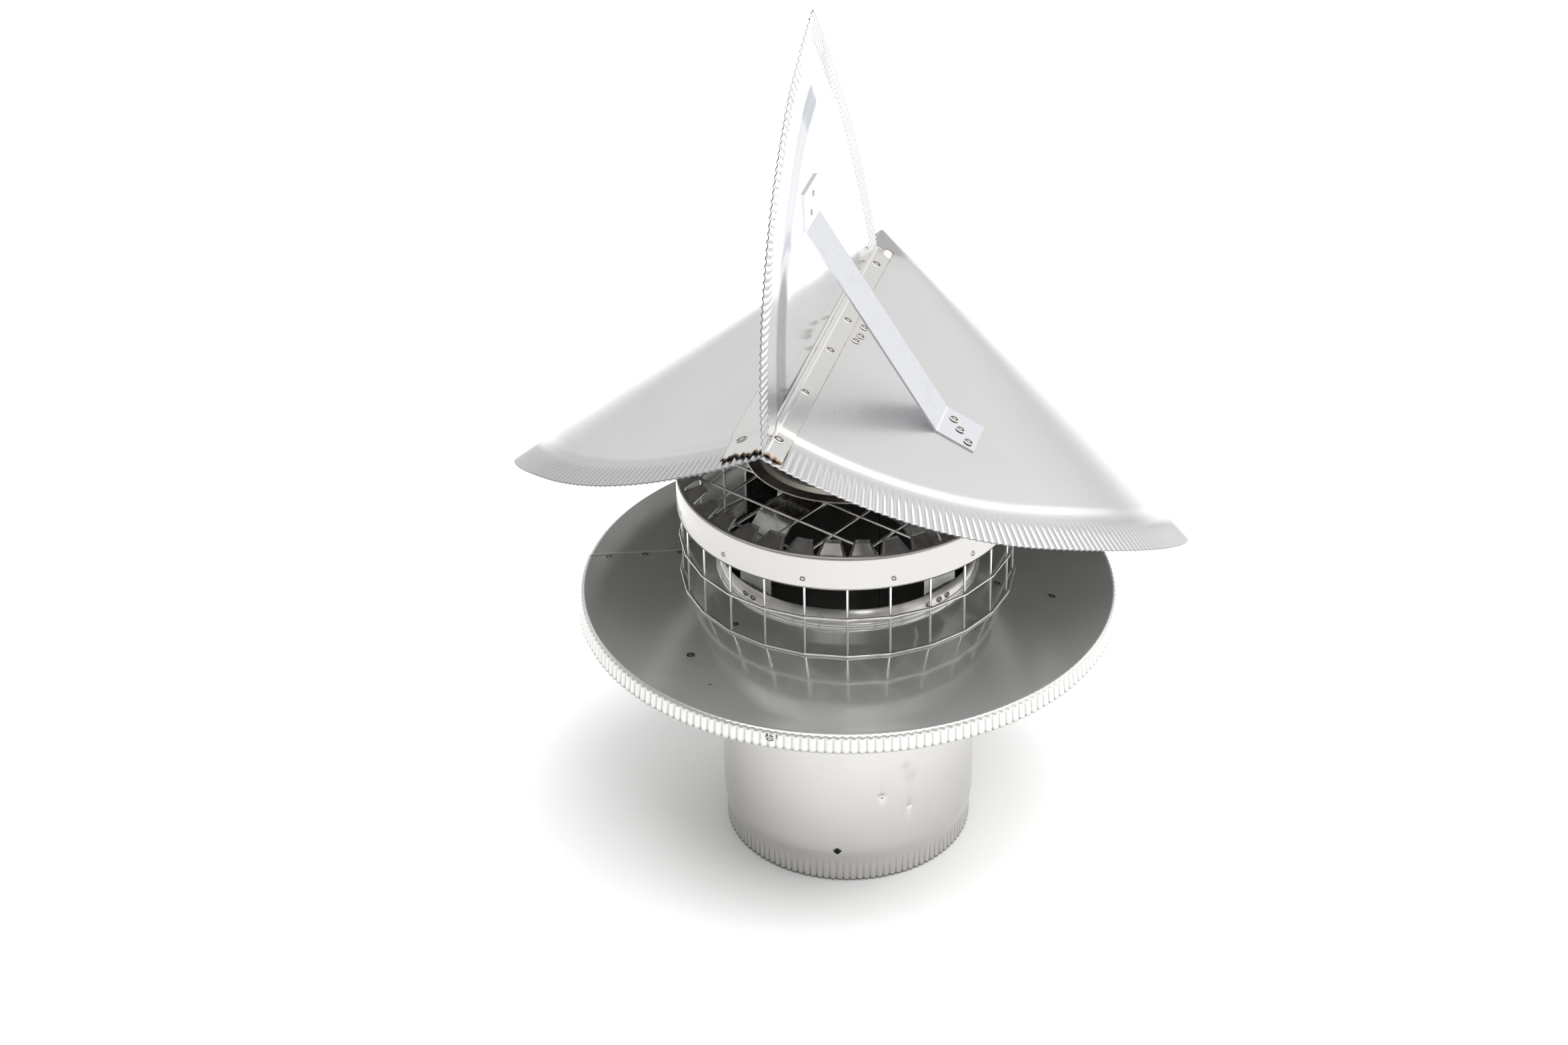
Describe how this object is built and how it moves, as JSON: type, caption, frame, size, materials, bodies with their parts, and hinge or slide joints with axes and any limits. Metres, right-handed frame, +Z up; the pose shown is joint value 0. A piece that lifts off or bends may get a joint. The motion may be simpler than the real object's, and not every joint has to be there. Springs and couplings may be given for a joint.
{
  "type": "rotating chimney cap",
  "caption": "Wind-directional chimney cap: a slip-in flue collar with base plate and wire cage, under a vaned cone hood that turns freely on a spindle.",
  "frame": {"origin": "on the collar's axis, at the lower end of the spigot that slips into the flue", "axes": "+Z up along the collar's axis and the hood's spindle, away from the flue; at rest the hood's open front faces -Y and its ridge lies in the plane X = 0"},
  "size_m": [0.4054, 0.3667, 0.5612],
  "materials": {
    "satin_sheet": "mill finish stainless sheet, soft satin reflections",
    "bright_sheet": "bright annealed stainless sheet, close to a mirror",
    "mesh_wire": "drawn stainless wire, welded at its crossings",
    "strap": "cold rolled stainless strap, fine grain along its length",
    "fastener": "turned stainless",
    "bush": "oiled sintered bronze"
  },
  "bodies": {
    "base": {"collar_pipe": "satin_sheet", "base_plate": "satin_sheet", "cage_uprights": "mesh_wire", "cage_ring_lower": "mesh_wire", "cage_ring_middle": "mesh_wire", "cage_ring_upper": "mesh_wire", "top_band": "bright_sheet", "top_mesh_over_wires": "mesh_wire", "top_mesh_under_wires": "mesh_wire", "pivot_arch_lower": "strap", "pivot_arch_upper": "strap", "spindle": "fastener", "base_nut": "fastener", "clamp_nut": "fastener", "support_nut": "fastener", "cap_nut": "fastener", "base_washer": "fastener", "thrust_washer": "bush", "cap_washer": "fastener"},
    "hood": {"hub_tube": "strap", "bush_lower": "bush", "bush_upper": "bush", "bearing_pan": "satin_sheet", "hood_cone": "satin_sheet", "vane": "bright_sheet", "vane_brace": "strap", "saddle_bracket": "strap"}
  },
  "joints": [
    {"name": "hood_swivel", "type": "hinge", "parent": "base", "child": "hood", "pos_m": [0, 0, 0.263], "axis": [0, 0, 1], "continuous": true}
  ]
}
